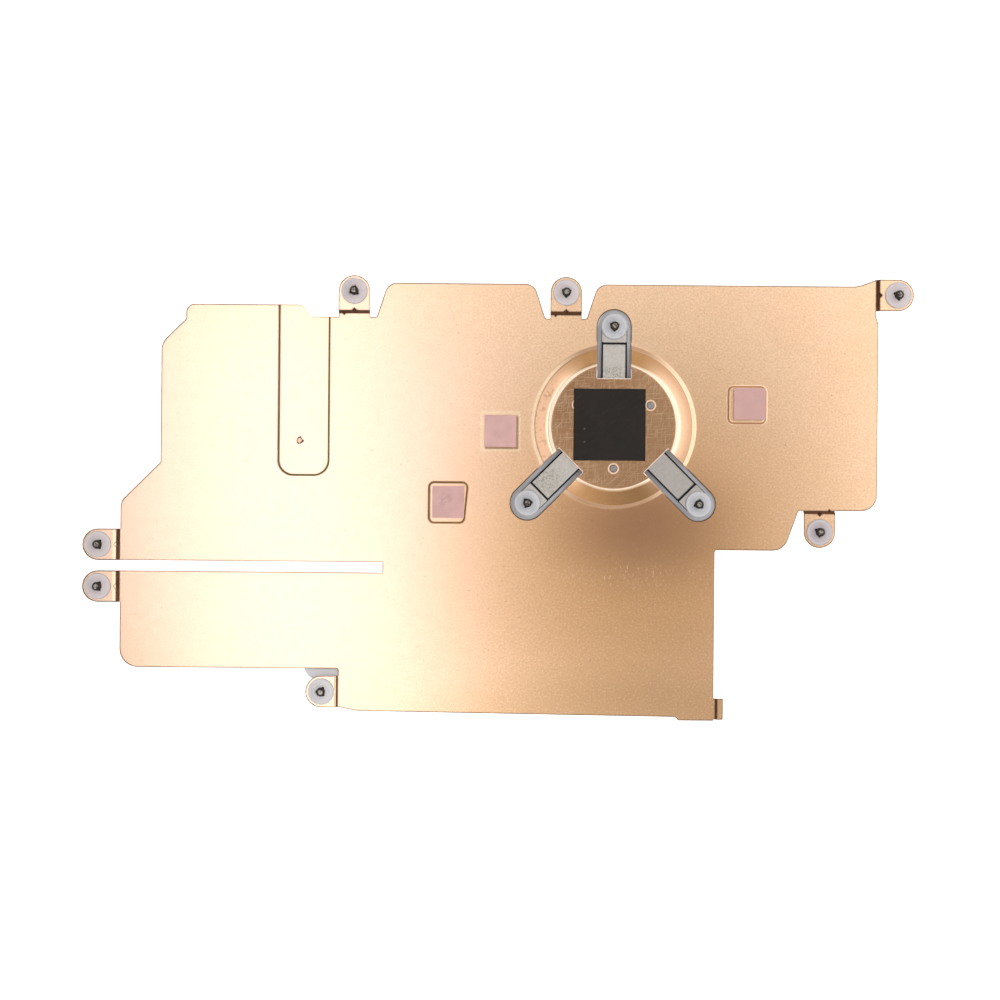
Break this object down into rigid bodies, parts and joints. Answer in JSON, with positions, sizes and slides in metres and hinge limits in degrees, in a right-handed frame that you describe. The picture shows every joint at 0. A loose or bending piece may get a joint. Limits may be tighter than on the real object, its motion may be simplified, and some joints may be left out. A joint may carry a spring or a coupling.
{
  "type": "laptop processor heat spreader",
  "caption": "Flat copper laptop heat spreader with a raised contact boss, a leaf spring behind it, joggled screw tabs with captive screws and soft thermal pads.",
  "frame": {"origin": "centre of the bounding box in plan, on the back face of the sheet", "axes": "+X along the sheet towards the end with the single corner tab, +Y towards the edge with the two notched tabs, +Z from the back face towards the circuit board"},
  "size_m": [0.1902, 0.1016, 0.0044],
  "materials": {
    "copper_sheet": "satin",
    "spring_steel": "satin",
    "rivet_steel": "satin",
    "screw_steel": "satin",
    "clear_nylon": "translucent",
    "contact_patch": "matte",
    "pink_pad": "matte"
  },
  "bodies": {
    "root": {"spreader_plate": "copper_sheet", "tripod_spring": "spring_steel", "rivet_1": "rivet_steel", "rivet_2": "rivet_steel", "rivet_3": "rivet_steel", "captive_screw_1": "screw_steel", "captive_screw_2": "screw_steel", "captive_screw_3": "screw_steel", "captive_screw_4": "screw_steel", "captive_screw_5": "screw_steel", "captive_screw_6": "screw_steel", "captive_screw_7": "screw_steel", "captive_screw_8": "screw_steel", "captive_screw_9": "screw_steel", "captive_screw_10": "screw_steel", "retaining_washer_1": "clear_nylon", "retaining_washer_2": "clear_nylon", "retaining_washer_3": "clear_nylon", "retaining_washer_4": "clear_nylon", "retaining_washer_5": "clear_nylon", "retaining_washer_6": "clear_nylon", "retaining_washer_7": "clear_nylon", "retaining_washer_8": "clear_nylon", "retaining_washer_9": "clear_nylon", "retaining_washer_10": "clear_nylon", "thermal_patch": "contact_patch", "thermal_pad_1": "pink_pad", "thermal_pad_2": "pink_pad", "thermal_pad_3": "pink_pad"}
  },
  "joints": []
}
